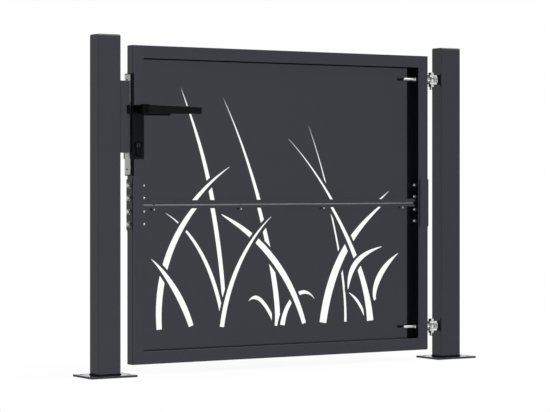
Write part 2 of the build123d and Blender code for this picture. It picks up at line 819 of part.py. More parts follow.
with BuildPart() as cylinder_cam:
    cam_width = cam_gap - 2 * cam_side_play
    with BuildSketch(front_plane(tube_middle - cam_width / 2)):
        with Locations((lock_x, cylinder_z)):
            Circle(cam_ring / 2)
            nose_reach = cam_reach - cam_nose / 2
            with Locations((0, -nose_reach / 2)):
                SlotCenterToCenter(nose_reach, cam_nose, rotation=90)
            Circle(plug / 2, mode=Mode.SUBTRACT)
    extrude(amount=-cam_width)
save(cylinder_cam, "cylinder_cam")

# Handle plates, rebated over the cover's flanges. The screws enter from the back.
plate_screw_seats = [
    seat_along_y(lock_x, -plate_face, z, 1) for z in (upper_screw_z, lower_screw_z)
]
for name, screw_depth in (("front", plate_screw_grip + cut_play), ("back", plate_thickness)):
    with BuildPart() as handle_plate:
        with BuildSketch(front_plane(leaf_front)):
            with Locations((lock_x, plate_middle)):
                RectangleRounded(plate_width, plate_height, plate_corner)
        extrude(amount=plate_thickness)
        fillet(handle_plate.faces().sort_by(Axis.Y)[0].edges(), plate_round)
        with BuildSketch(front_plane(leaf_front)):
            rebate_end = leaf_left + cover_lap + cut_play
            with Locations((rebate_end - plate_width / 2, plate_middle)):
                Rectangle(plate_width, plate_height)
        extrude(amount=cover_flange + cut_play, mode=Mode.SUBTRACT)
        with BuildSketch(front_plane(leaf_front)):
            with Locations((lock_x, spindle_z)):
                Circle(collar / 2 + collar_fit)
            with Locations((lock_x, cylinder_z)):
                cylinder_profile(cylinder_gap)
        extrude(amount=plate_thickness, mode=Mode.SUBTRACT)
        with BuildSketch(front_plane(leaf_front)):
            with Locations((lock_x, upper_screw_z), (lock_x, lower_screw_z)):
                Circle(plate_screw / 2 + thread_fit)
        extrude(amount=screw_depth, mode=Mode.SUBTRACT)
        if name == "back":
            mirror(about=Plane.XZ, mode=Mode.REPLACE)
            with Locations(*plate_screw_seats):
                CounterSinkHole(
                    plate_screw / 2 + thread_fit,
                    plate_screw_head / 2 + thread_fit,
                    depth=plate_thickness,
                    counter_sink_angle=countersink,
                )
    save(handle_plate, f"{name}_handle_plate")

screw_length = leaf_back + plate_thickness - leaf_front + plate_screw_grip
countersunk_screws(
    "handle_plate_screws", plate_screw_seats, plate_screw, plate_screw_head, screw_length
)

# Levers: a collar in the plate, a round neck and a flat grip bent along the gate
for name in ("front", "back"):
    with BuildPart() as lever:
        grip_front = plate_face - grip_stand
        grip_back = grip_front + grip_depth
        neck_left = lock_x - neck / 2
        neck_right = lock_x + neck / 2
        grip_end = lock_x + grip_length
        grip_end_z = spindle_z - grip_end_drop
        elbow_start = grip_back + grip_inner_bend + elbow_land
        with BuildSketch(level_plane(spindle_z - grip_height / 2)) as grip_plan:
            with BuildLine():
                Polyline(
                    (neck_left, elbow_start),
                    (neck_left, grip_front),
                    (grip_end, grip_front),
                    (grip_end, grip_back),
                    (neck_right, grip_back),
                    (neck_right, elbow_start),
                    close=True,
                )
            make_face()
            fillet(grip_plan.vertices().group_by(Axis.X)[1].sort_by(Axis.Y)[0], grip_inner_bend)
            fillet(grip_plan.vertices().group_by(Axis.X)[0].sort_by(Axis.Y)[0], grip_outer_bend)
            fillet(grip_plan.vertices().group_by(Axis.X)[-1], grip_end_corner)
        extrude(amount=grip_height)
        with BuildSketch(front_plane(elbow_start)):
            with BuildLine():
                Polyline(
                    (neck_left, spindle_z - grip_height / 2),
                    (grip_end, grip_end_z - grip_end_height / 2),
                    (grip_end, grip_end_z + grip_end_height / 2),
                    (neck_left, spindle_z + grip_height / 2),
                    close=True,
                )
            make_face()
        extrude(amount=elbow_start - grip_front, mode=Mode.INTERSECT)
        for face in (lever.faces().sort_by(Axis.Z)[0], lever.faces().sort_by(Axis.Z)[-1]):
            fillet(face.edges().sort_by(Axis.Y)[:-1], grip_round)
        with BuildSketch(front_plane(plate_face - shoulder_play)):
            with Locations((lock_x, spindle_z)):
                Circle(neck / 2)
        extrude(amount=plate_face - shoulder_play - grip_back)
        with BuildSketch(front_plane(leaf_front - collar_play)):
            with Locations((lock_x, spindle_z)):
                Circle(collar / 2)
        extrude(amount=plate_thickness)
        with BuildSketch(front_plane(leaf_front - collar_play)):
            with Locations((lock_x, spindle_z)):
                Rectangle(spindle_size + 2 * spindle_fit, spindle_size + 2 * spindle_fit)
        extrude(amount=spindle_reach + leaf_front, mode=Mode.SUBTRACT)
        if name == "back":
            mirror(about=Plane.XZ, mode=Mode.REPLACE)
    save(lever, f"{name}_lever")

# Square spindle, and the follower that it turns inside the case
with BuildPart() as spindle:
    with BuildSketch(front_plane(-spindle_reach)):
        with Locations((lock_x, spindle_z)):
            Rectangle(spindle_size, spindle_size)
    extrude(amount=-2 * spindle_reach)
save(spindle, "spindle")

with BuildPart() as follower:
    hub_front = case_front + case_wall + follower_play
    hub_back = lid_front - follower_play
    with BuildSketch(front_plane(hub_front)):
        with Locations((lock_x, spindle_z)):
            Circle(follower_radius)
            with Locations((0, arm_reach / 2)):
                Rectangle(arm_width, arm_reach)
    extrude(amount=hub_front - hub_back)
    with BuildSketch(front_plane(case_front + follower_play)):
        with Locations((lock_x, spindle_z)):
            Circle(follower_journal - spindle_fit)
    extrude(amount=case_front + 2 * follower_play - lid_front - case_wall)
    with BuildSketch(front_plane(case_front)):
        with Locations((lock_x, spindle_z)):
            Rectangle(spindle_size + 2 * spindle_fit, spindle_size + 2 * spindle_fit)
    extrude(amount=-case_thickness, mode=Mode.SUBTRACT)
save(follower, "follower")
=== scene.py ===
import bpy
import bmesh
import json
from math import cos, pi, radians, sin, tan
from mathutils import Matrix, Vector


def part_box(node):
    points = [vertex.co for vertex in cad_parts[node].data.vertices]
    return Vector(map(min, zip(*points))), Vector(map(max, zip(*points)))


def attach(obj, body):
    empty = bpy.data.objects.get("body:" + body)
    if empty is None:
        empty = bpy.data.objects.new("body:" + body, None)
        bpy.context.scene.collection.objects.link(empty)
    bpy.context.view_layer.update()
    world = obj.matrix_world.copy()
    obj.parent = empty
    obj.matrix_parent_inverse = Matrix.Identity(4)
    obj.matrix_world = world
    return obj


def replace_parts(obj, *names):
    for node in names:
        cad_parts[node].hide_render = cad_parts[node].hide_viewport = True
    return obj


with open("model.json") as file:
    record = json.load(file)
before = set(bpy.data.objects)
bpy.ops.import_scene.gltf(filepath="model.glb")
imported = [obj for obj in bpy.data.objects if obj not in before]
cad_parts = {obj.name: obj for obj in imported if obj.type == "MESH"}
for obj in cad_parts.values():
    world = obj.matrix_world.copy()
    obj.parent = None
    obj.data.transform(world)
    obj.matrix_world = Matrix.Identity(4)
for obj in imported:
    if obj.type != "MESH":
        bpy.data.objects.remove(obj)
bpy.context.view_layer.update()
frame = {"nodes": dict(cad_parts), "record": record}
scene = bpy.context.scene
scene.view_settings.view_transform = "Standard"
print("gate loaded,", len(frame["nodes"]), "nodes")


# a shader socket: arithmetic on it adds Math nodes, node() adds any other kind
class Wire:
    def __init__(self, tree, socket=None):
        self.tree = tree
        self.socket = socket

    def node(self, kind, settings=None, sockets=None, out=0):
        made = self.tree.nodes.new("ShaderNode" + kind)
        for name, value in (settings or {}).items():
            setattr(made, name, value)
        for name, value in (sockets or {}).items():
            if isinstance(value, Wire):
                self.tree.links.new(value.socket, made.inputs[name])
            else:
                made.inputs[name].default_value = value
        return Wire(self.tree, made.outputs[out]) if made.outputs else None

    def other(self, name):  # another output of the same node
        return Wire(self.tree, self.socket.node.outputs[name])

    def maths(self, operation, first, second):
        return self.node("Math", {"operation": operation}, {0: first, 1: second})

    def __add__(self, value):
        return self.maths("ADD", self, value)

    def __sub__(self, value):
        return self.maths("SUBTRACT", self, value)

    def __rsub__(self, value):
        return self.maths("SUBTRACT", value, self)

    def __mul__(self, value):
        return self.maths("MULTIPLY", self, value)

    def __pow__(self, value):
        return self.maths("POWER", self, value)

    __radd__ = __add__
    __rmul__ = __mul__

    def within(self, low, high):  # 0 at low, 1 at high, held there beyond
        return self.node("MapRange", None, {"Value": self, "From Min": low, "From Max": high})

    def blend(self, first, second):  # colours, by this value
        return self.node("Mix", {"data_type": "RGBA"}, {0: self, 6: first, 7: second}, out=2)

    def noise(self, scale, detail, roughness=0.5):
        return self.node("TexNoise", None, {
            "Vector": self, "Scale": scale, "Detail": detail, "Roughness": roughness})

    def stretched(self, x, y, z):
        return self.node("Mapping", None, {"Vector": self, "Scale": (x, y, z)})

    def relief(self, depth, strength, rounding):  # this value as height, on softened edges
        edges = self.node("Bevel", {"samples": 6}, {"Radius": rounding})
        return self.node("Bump", None, {
            "Height": self, "Distance": depth, "Strength": strength, "Normal": edges})


def colour(red, green, blue):
    return (red, green, blue, 1.0)


def finishNamed(name):
    material = bpy.data.materials.new(name)
    material.use_nodes = True
    material.node_tree.nodes.clear()
    wire = Wire(material.node_tree)
    return material, wire, wire.node("TexCoord", out="Object")


def surface(wire, sockets):
    shader = wire.node("BsdfPrincipled", None, sockets)
    wire.node("OutputMaterial", None, {"Surface": shader})


# In the looks, lengths are in metres. A noise is its scale per metre, detail and roughness,
# and a relief is its depth, strength and edge rounding.

# anthracite powder coat: dark, glossy, with a faint orange peel and a little dust near the ground,
# with painted shade as a dark matt coat on what faces down and on a band at the posts' feet
coatLook = {
    "deep": colour(0.0034, 0.0043, 0.0067),
    "pale": colour(0.0044, 0.0055, 0.0083),
    "patch": (5.0, 3.0),
    "patchRange": (0.3, 0.7),
    "peel": (420.0, 1.0),
    "grain": (1900.0, 2.0),
    "grainShare": 0.25,
    "relief": (0.000006, 0.8, 0.0004),
    "rough": 0.022,
    "roughPatch": 0.025,
    "roughGrain": 0.02,
    "roughDust": 0.25,
    "ior": 1.607,
    "tint": colour(0.85, 0.865, 1.0),
    "dust": colour(0.060, 0.058, 0.054),
    "dustTop": 0.10,
    "dustAmount": 0.20,
    "speck": (95.0, 6.0, 0.7),
    "speckRange": (0.52, 0.74),
    # painted shade: the dark matt colour put on downward faces and at the posts' feet
    "paintedShade": colour(0.0040, 0.0046, 0.0062),
    "shadeSlope": (-0.6, -0.9),  # upward part of the normal where the painted shade on downward faces starts and is full
    "footShadeFrom": (0.0051, 0.0054),  # heights where the painted shade at the posts' feet starts and is full
    "footShadeTo": (0.0078, 0.0070),  # heights where it ends and is still full
}


def coatedSteel():
    look = coatLook
    material, wire, place = finishNamed("coated_steel")
    height = wire.node("SeparateXYZ", None, {"Vector": place}, out="Z")
    patches = place.noise(*look["patch"])
    peel = place.noise(*look["peel"])
    grain = place.noise(*look["grain"])
    specks = place.noise(*look["speck"]).within(*look["speckRange"])
    dust = (1 - height.within(0.0, look["dustTop"])) ** 2 * specks * look["dustAmount"]
    paint = patches.within(*look["patchRange"]).blend(look["deep"], look["pale"])
    gloss = look["rough"] + look["roughPatch"] * patches + look["roughGrain"] * grain
    glossy = wire.node("BsdfPrincipled", None, {
        "Base Color": dust.blend(paint, look["dust"]),
        "Roughness": gloss + look["roughDust"] * dust,
        "IOR": look["ior"],
        "Specular Tint": look["tint"],
        "Normal": (peel + look["grainShare"] * grain).relief(*look["relief"]),
    })
    # painted shade: what faces down turns to a dark matt diffuse coat
    rise = wire.node("SeparateXYZ", None, {"Vector": wire.node("NewGeometry", out="Normal")}, out="Z")
    # painted shade: a dark matt band at the posts' feet, over the foot welds
    footShade = height.within(*look["footShadeFrom"]) * height.within(*look["footShadeTo"])
    paintedShadeMix = (rise.within(*look["shadeSlope"]) + footShade).within(0.0, 1.0)
    paintedShade = wire.node("BsdfDiffuse", None, {"Color": look["paintedShade"]})
    coat = wire.node("MixShader", None, {0: paintedShadeMix, 1: glossy, 2: paintedShade})
    wire.node("OutputMaterial", None, {"Surface": coat})
    return material


# bright zinc plating with fine grain and a few dull patches
zincLook = {
    "bright": colour(0.87, 0.88, 0.89),
    "dull": colour(0.64, 0.65, 0.66),
    "patch": (130.0, 4.0, 0.6),
    "dullRange": (0.42, 0.72),
    "grain": (2600.0, 2.0),
    "relief": (0.00002, 0.35, 0.0003),
    "rough": 0.05,
    "roughPatch": 0.08,
    "roughGrain": 0.04,
}


def zincPlate():
    look = zincLook
    material, wire, place = finishNamed("zinc")
    patches = place.noise(*look["patch"])
    grain = place.noise(*look["grain"])
    surface(wire, {
        "Base Color": patches.within(*look["dullRange"]).blend(look["bright"], look["dull"]),
        "Metallic": 1.0,
        "Roughness": look["rough"] + look["roughPatch"] * patches + look["roughGrain"] * grain,
        "Normal": grain.relief(*look["relief"]),
    })
    return material


# satin stainless steel, brushed along its length
lockSteelLook = {
    "pale": colour(0.79, 0.80, 0.80),
    "dark": colour(0.62, 0.63, 0.635),
    "brush": (2400.0, 2400.0, 18.0),  # marks per metre along each axis
    "line": (1.0, 3.0, 0.6),
    "lineRange": (0.3, 0.7),
    "patch": (60.0, 3.0),
    "relief": (0.00001, 0.5, 0.0003),
    "rough": 0.24,
    "roughLine": 0.14,
    "roughPatch": 0.06,
}


def brushedSteel():
    look = lockSteelLook
    material, wire, place = finishNamed("lock_steel")
    lines = place.stretched(*look["brush"]).noise(*look["line"])
    patches = place.noise(*look["patch"])
    surface(wire, {
        "Base Color": lines.within(*look["lineRange"]).blend(look["pale"], look["dark"]),
        "Metallic": 1.0,
        "Roughness": look["rough"] + look["roughLine"] * lines + look["roughPatch"] * patches,
        "Normal": lines.relief(*look["relief"]),
    })
    return material


# black nickel on the profile cylinder, with turning marks about the key's axis and a painted glint on the
# plug face
nickelLook = {
    "pale": colour(0.0135, 0.0138, 0.0145),
    "dark": colour(0.0085, 0.0088, 0.0094),
    # painted highlight: colour of the glint on the plug's face
    "plug": colour(0.044, 0.044, 0.045),
    "plugEdge": (0.0046, 0.0047),  # radii where the painted glint on the plug ends
    "plugPlain": 0.75,  # strength of the painted glint, plain and by the rings
    "plugRing": 0.5,
    "rings": 4200.0,
    "ringDetail": 2.0,
    "ringShare": 0.6,
    "patch": (240.0, 3.0),
    "patchShare": 0.4,
    "platedRange": (0.3, 0.7),
    "relief": (0.00001, 0.4, 0.0004),
    "rough": 0.24,
    "roughRing": 0.12,
    "roughPatch": 0.06,
}


def turnedNickel():
    look = nickelLook
    low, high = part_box("cylinder_plug")
    middle = (low + high) / 2
    material, wire, place = finishNamed("cylinder_metal")
    across = wire.node("SeparateXYZ", None, {"Vector": place}, out="X")
    radius = ((across - middle.x) ** 2 + (across.other("Z") - middle.z) ** 2) ** 0.5
    rings = wire.node("TexNoise", {"noise_dimensions": "1D"}, {
        "W": radius * look["rings"], "Detail": look["ringDetail"]})
    patches = place.noise(*look["patch"])
    mottle = rings * look["ringShare"] + patches * look["patchShare"]
    plated = mottle.within(*look["platedRange"]).blend(look["pale"], look["dark"])
    # painted highlight: a paler disc on the plug's face stands in for its glint
    glintShare = (1 - radius.within(*look["plugEdge"])) * (look["plugPlain"] + look["plugRing"] * rings)
    surface(wire, {
        "Base Color": glintShare.within(0.0, 1.0).blend(plated, look["plug"]),
        "Metallic": 1.0,
        "Roughness": look["rough"] + look["roughRing"] * rings + look["roughPatch"] * patches,
        "Normal": rings.relief(*look["relief"]),
    })
    return material


# satin black coat of the handles, finely textured
handleLook = {
    "deep": colour(0.0017, 0.0020, 0.0027),
    "rubbed": colour(0.0034, 0.0039, 0.0049),
    "patch": (38.0, 3.0),
    "rubbedRange": (0.45, 0.75),
    "sand": (2300.0, 3.0, 0.6),
    "relief": (0.00004, 0.35, 0.0004),
    "rough": 0.14,
    "roughPatch": 0.08,
    "roughSand": 0.03,
    "shine": 0.105,
    "tint": colour(0.88, 0.94, 1.0),
}


def satinBlack():
    look = handleLook
    material, wire, place = finishNamed("black_handle")
    sand = place.noise(*look["sand"])
    patches = place.noise(*look["patch"])
    surface(wire, {
        "Base Color": patches.within(*look["rubbedRange"]).blend(look["deep"], look["rubbed"]),
        "Roughness": look["rough"] + look["roughPatch"] * patches + look["roughSand"] * sand,
        "Specular IOR Level": look["shine"],
        "Specular Tint": look["tint"],
        "Normal": sand.relief(*look["relief"]),
    })
    return material


# moulded black plastic with a leathery mould grain
plasticLook = {
    "deep": colour(0.0018, 0.0019, 0.0024),
    "scuffed": colour(0.0050, 0.0051, 0.0056),
    "scuff": (150.0, 6.0, 0.7),
    "scuffRange": (0.55, 0.80),
    "cells": 1500.0,
    "cellSoftness": 0.6,
    "relief": (0.00006, 0.4, 0.0004),
    "rough": 0.40,
    "roughScuff": 0.14,
    "roughCell": 0.10,
    "shine": 0.09,
}


def mouldedPlastic():
    look = plasticLook
    material, wire, place = finishNamed("black_plastic")
    cells = wire.node("TexVoronoi", {"feature": "SMOOTH_F1"}, {
        "Vector": place, "Scale": look["cells"], "Smoothness": look["cellSoftness"]})
    scuffs = place.noise(*look["scuff"]).within(*look["scuffRange"])
    surface(wire, {
        "Base Color": scuffs.blend(look["deep"], look["scuffed"]),
        "Roughness": look["rough"] + look["roughScuff"] * scuffs + look["roughCell"] * cells,
        "Specular IOR Level": look["shine"],
        "Normal": cells.relief(*look["relief"]),
    })
    return material


# polished anthracite plastic of the post caps, with faint flow marks from the mould
capLook = {
    "deep": colour(0.0036, 0.0050, 0.0080),
    "pale": colour(0.0050, 0.0066, 0.0098),
    "stretch": (1.0, 2.5, 1.0),
    "flow": (70.0, 4.0, 0.6),
    "flowRange": (0.35, 0.65),
    "fine": (2200.0, 2.0),
    "fineShare": 0.3,
    "relief": (0.000008, 0.6, 0.0005),
    "rough": 0.05,
    "roughFlow": 0.06,
    "roughFine": 0.03,
    "ior": 1.56,
}


def polishedPlastic():
    look = capLook
    material, wire, place = finishNamed("grey_plastic")
    flow = place.stretched(*look["stretch"]).noise(*look["flow"])
    fine = place.noise(*look["fine"])
    surface(wire, {
        "Base Color": flow.within(*look["flowRange"]).blend(look["deep"], look["pale"]),
        "Roughness": look["rough"] + look["roughFlow"] * flow + look["roughFine"] * fine,
        "IOR": look["ior"],
        "Normal": (flow + look["fineShare"] * fine).relief(*look["relief"]),
    })
    return material


# blacked steel of the small screws in the forend
blackedLook = {
    "deep": colour(0.0016, 0.0016, 0.0018),
    "rubbed": colour(0.0060, 0.0058, 0.0056),
    "rub": (700.0, 4.0, 0.65),
    "rubRange": (0.5, 0.75),
    "relief": (0.00002, 0.4, 0.0002),
    "rough": 0.32,
    "roughRub": 0.16,
    "shine": 0.12,
}


def blackedSteel():
    look = blackedLook
    material, wire, place = finishNamed("black_steel")
    rubs = place.noise(*look["rub"])
    surface(wire, {
        "Base Color": rubs.within(*look["rubRange"]).blend(look["deep"], look["rubbed"]),
        "Roughness": look["rough"] + look["roughRub"] * rubs,
        "Specular IOR Level": look["shine"],
        "Normal": rubs.relief(*look["relief"]),
    })
    return material


finishes = {
    "coated_steel": coatedSteel(),
    "zinc": zincPlate(),
    "lock_steel": brushedSteel(),
    "cylinder_metal": turnedNickel(),
    "black_handle": satinBlack(),
    "black_plastic": mouldedPlastic(),
    "grey_plastic": polishedPlastic(),
    "black_steel": blackedSteel(),
}
for part in frame["record"]["subparts"]:
    mesh = frame["nodes"][part["node"]].data
    mesh.materials.clear()
    mesh.materials.append(finishes[part["material_slot"]])

mergeDistance = 1e-6
sortDigits = 5


# every separate solid of a node, as its lowest and highest corner
def looseBoxes(node):
    bm = bmesh.new()
    bm.from_mesh(frame["nodes"][node].data)
    bmesh.ops.remove_doubles(bm, verts=bm.verts, dist=mergeDistance)
    left = set(bm.verts)
    boxes = []
    while left:
        group = [left.pop()]
        for vert in group:  # grows while it is walked
            for edge in vert.link_edges:
                near = edge.other_vert(vert)
                if near in left:
                    left.remove(near)
                    group.append(near)
        corners = list(zip(*[vert.co for vert in group]))
        boxes.append((Vector(map(min, corners)), Vector(map(max, corners))))
    bm.free()
    return sorted(boxes, key=lambda box: tuple(round(value, sortDigits) for value in box[0]))


# a frame at a point: local Z along the piece, local X towards a corner of its hexagon
def standing(origin, along, corner):
    along = Vector(along)
    corner = Vector(corner)
    side = along.cross(corner)
    turned = Matrix((corner, side, along)).transposed()
    return Matrix.Translation(origin) @ turned.to_4x4()


def addRow(bm, stand, radii, heights):
    count = len(radii)
    return [
        bm.verts.new(stand @ Vector((r * cos(2 * pi * i / count), r * sin(2 * pi * i / count), h)))
        for i, (r, h) in enumerate(zip(radii, heights))
    ]


def skinRows(bm, rows, closed=True):
    for low, high in zip(rows, rows[1:]):
        count = len(low)
        for i in range(count):
            j = (i + 1) % count
            bm.faces.new((low[i], low[j], high[j], high[i]))
    if closed:
        bm.faces.new(list(reversed(rows[0])))
        bm.faces.new(rows[-1])


def addTurned(bm, stand, profile, count=32):  # solid of revolution from radius and height pairs
    skinRows(bm, [addRow(bm, stand, [r] * count, [h] * count) for r, h in profile])


def addRing(bm, stand, profile, count=48):  # closed profile, hole in the middle
    rows = [addRow(bm, stand, [r] * count, [h] * count) for r, h in profile]
    skinRows(bm, rows + rows[:1], closed=False)


# hexagon with its corners bevelled to a cone at one or both ends
hexagonShape = {
    "points": 60,
    "face": 0.955,  # round end face, as a share of the width over the flats
    "bevel": 30.0,
    "mouth": 1.12,  # countersink of the thread, as a share of the bore
}


def addHexagon(bm, stand, flats, low, high, bore=0.0, bevels=(True, True)):
    count = hexagonShape["points"]
    half = flats / 2
    outline = [half / cos((2 * pi * i / count) % (pi / 3) - pi / 6) for i in range(count)]
    face = half * hexagonShape["face"]
    slope = tan(radians(hexagonShape["bevel"]))
    fall = [(r - face) * slope for r in outline]
    lowFall = [f if bevels[0] else 0.0 for f in fall]
    highFall = [f if bevels[1] else 0.0 for f in fall]
    rows = [
        addRow(bm, stand, [face] * count, [low] * count),
        addRow(bm, stand, outline, [low + f for f in lowFall]),
        addRow(bm, stand, outline, [high - f for f in highFall]),
        addRow(bm, stand, [face] * count, [high] * count),
    ]
    if not bore:
        skinRows(bm, rows)
        return
    mouth = bore * hexagonShape["mouth"]
    sunk = mouth - bore
    rows += [
        addRow(bm, stand, [mouth] * count, [high] * count),
        addRow(bm, stand, [bore] * count, [high - sunk] * count),
        addRow(bm, stand, [bore] * count, [low + sunk] * count),
        addRow(bm, stand, [mouth] * count, [low] * count),
    ]
    skinRows(bm, rows + rows[:1], closed=False)


# rolled thread with flat crests and a tapered end
threadShape = {
    "points": 20,
    "steps": 8,  # rows in a pitch
    "depth": 0.40,  # in pitches
    "flank": 7.0,
    "crest": 2.4,
    "runOut": 0.9,  # length of the taper, in pitches
    "tip": 0.84,  # share of the radius left at the end
    "inset": 0.000004,
}


def addThread(bm, stand, diameter, pitch, start, end):  # from z = start down to z = end
    shape = threadShape
    count = shape["points"]
    major = diameter / 2
    depth = shape["depth"] * pitch
    rows = []
    total = max(2, round((start - end) / pitch * shape["steps"]))
    for k in range(total + 1):
        z = start - (start - end) * k / total
        towardsTip = min(1.0, (z - end) / (shape["runOut"] * pitch))
        taper = shape["tip"] + (1 - shape["tip"]) * towardsTip
        radii = []
        for i in range(count):
            wave = (z / pitch - i / count) % 1.0
            groove = min(1.0, max(0.0, shape["flank"] * abs(wave - 0.5) - shape["crest"]))
            radii.append((major - depth * groove) * taper - shape["inset"])
        rows.append(addRow(bm, stand, radii, [z] * count))
    rows.reverse()
    skinRows(bm, rows)


# flat or domed screw head with a cross recess, on a plain shank
crossHeadShape = {
    "points": 96,
    "shoulder": (0.86, 0.62),  # shares of the head's radius and of the dome's height
    "crown": 0.62,
    "recessFloor": 0.72,
}


def addCrossHead(bm, stand, head, rim, dome, shank, neck, length, arm, width, depth):
    shape = crossHeadShape
    count = shape["points"]
    recess = []
    for i in range(count):
        turn = abs((2 * pi * i / count + pi / 4) % (pi / 2) - pi / 4)
        recess.append(arm / cos(turn) if tan(turn) <= width / arm else width / sin(turn))
    outward, upward = shape["shoulder"]
    outline = [
        (shank, -length), (shank, -neck), (head, -rim), (head, 0.0),
        (head * outward, dome * upward), (head * shape["crown"], dome)]
    rows = [addRow(bm, stand, [r] * count, [h] * count) for r, h in outline]
    rows.append(addRow(bm, stand, recess, [dome] * count))
    rows.append(addRow(bm, stand, [r * shape["recessFloor"] for r in recess], [dome - depth] * count))
    skinRows(bm, rows)


def pieceFrom(bm, name, body, slot, sharp=24.0):
    bmesh.ops.recalc_face_normals(bm, faces=bm.faces)
    mesh = bpy.data.meshes.new(name)
    bm.to_mesh(mesh)
    bm.free()
    mesh.shade_smooth()
    mesh.set_sharp_from_angle(angle=radians(sharp))
    mesh.materials.append(finishes[slot])
    piece = bpy.data.objects.new(name, mesh)
    scene.collection.objects.link(piece)
    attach(piece, body)
    return piece


# M6 bolts and nuts of the leaf, lengths in metres
leafBolt = {
    "diameter": 0.006,
    "pitch": 0.001,
    "flats": 0.010,
    "head": 0.004,
    "collar": 0.0135,
    "collarHeight": 0.0014,
    "collarRim": 0.45,  # straight part of the collar's side, as a share of its height
    "collarEdge": (0.96, 0.62),  # shares of the collar's radius and height
    "collarTop": (0.56, 1.02),  # shares of the flats and of the collar's height
    "collarPoints": 40,
    "threaded": 0.012,
}


def addCollar(bm, stand, bolt):
    edge = bolt["collar"] / 2
    lift = bolt["collarHeight"]
    edgeOut, edgeUp = bolt["collarEdge"]
    topOut, topUp = bolt["collarTop"]
    addTurned(bm, stand, [
        (edge, 0.0), (edge, lift * bolt["collarRim"]), (edge * edgeOut, lift * edgeUp),
        (bolt["flats"] * topOut, lift * topUp)], bolt["collarPoints"])


def addBolt(bm, stand, bolt, length, collar):
    lift = bolt["collarHeight"] if collar else 0.0
    addHexagon(bm, stand, bolt["flats"], lift, lift + bolt["head"], bevels=(False, True))
    if collar:
        addCollar(bm, stand, bolt)
    radius = bolt["diameter"] / 2
    plain = length - bolt["threaded"]
    if plain > 0:
        addTurned(bm, stand, [(radius, -plain), (radius, 0.0)])
    addThread(bm, stand, bolt["diameter"], bolt["pitch"], -max(plain, 0.0), -length)


def channelFasteners():
    bolts = bmesh.new()
    nuts = bmesh.new()
    for low, high in looseBoxes("channel_bolts"):
        middle = (low + high) / 2
        facing = 1 if middle.x > 0 else -1  # heads outwards
        top = leafBolt["head"] + leafBolt["collarHeight"]
        seat = (high.x if facing > 0 else low.x) - facing * top
        stand = standing((seat, middle.y, middle.z), (facing, 0, 0), (0, 0, 1))
        addBolt(bolts, stand, leafBolt, high.x - low.x - top, True)
    for low, high in looseBoxes("channel_nuts"):
        middle = (low + high) / 2
        stand = standing((low.x, middle.y, middle.z), (1, 0, 0), (0, 0, 1))
        addHexagon(nuts, stand, leafBolt["flats"], 0.0, high.x - low.x, leafBolt["diameter"] / 2)
    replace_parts(pieceFrom(bolts, "channel_bolts_threaded", "leaf", "zinc"), "channel_bolts")
    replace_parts(pieceFrom(nuts, "channel_nuts_bevelled", "leaf", "zinc"), "channel_nuts")


def seamFasteners():
    bolts = bmesh.new()
    nuts = bmesh.new()
    for low, high in looseBoxes("seam_strip_bolts"):
        middle = (low + high) / 2
        seat = high.z - leafBolt["head"]
        stand = standing((middle.x, middle.y, seat), (0, 0, 1), (1, 0, 0))
        addBolt(bolts, stand, leafBolt, seat - low.z, False)
    for low, high in looseBoxes("seam_strip_nuts"):
        middle = (low + high) / 2
        stand = standing((middle.x, middle.y, low.z), (0, 0, 1), (1, 0, 0))
        addHexagon(nuts, stand, leafBolt["flats"], 0.0, high.z - low.z, leafBolt["diameter"] / 2)
    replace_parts(pieceFrom(bolts, "seam_strip_bolts_threaded", "leaf", "zinc"), "seam_strip_bolts")
    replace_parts(pieceFrom(nuts, "seam_strip_nuts_bevelled", "leaf", "zinc"), "seam_strip_nuts")


channelFasteners()
seamFasteners()
print("leaf bolts and nuts made")

# M8 hinge pins, and the eyes on threaded rods that they carry
hingePin = {
    "diameter": 0.008,
    "pitch": 0.00125,
    "flats": 0.013,
    "head": 0.0064,
    "threaded": 0.018,
}
hingeEye = {
    "outside": 0.018,
    "bore": 0.0081,
    "soft": 0.0012,  # rounding of the eye's rims
    "softCut": 0.3,  # share of the rounding at its middle point
    "neck": 0.0105,
    "neckSunk": 0.0012,  # how far the neck reaches into the eye
    "neckFoot": 0.0034,  # this and the next two are distances from the neck's wide end
    "neckStep": 0.0026,
    "threadStart": 0.0030,
    "neckStepWidth": 1.04,  # as a share of the rod's radius
}


def addEyeRing(bm, stand, half):
    rim = hingeEye["outside"] / 2
    bore = hingeEye["bore"] / 2
    soft = hingeEye["soft"]
    cut = soft * hingeEye["softCut"]
    addRing(bm, stand, [
        (bore, -half + soft / 2), (bore + soft / 2, -half), (rim - soft, -half),
        (rim - cut, -half + cut), (rim, -half + soft),
        (rim, half - soft), (rim - cut, half - cut), (rim - soft, half),
        (bore + soft / 2, half), (bore, half - soft / 2)])


def addEyeRod(bm, along, end):
    start = hingeEye["neckSunk"] - hingeEye["outside"] / 2
    root = hingePin["diameter"] / 2
    addTurned(bm, along, [
        (root, start - hingeEye["neckFoot"]),
        (root * hingeEye["neckStepWidth"], start - hingeEye["neckStep"]),
        (hingeEye["neck"] / 2, start)])
    addThread(bm, along, hingePin["diameter"], hingePin["pitch"], start - hingeEye["threadStart"], end)


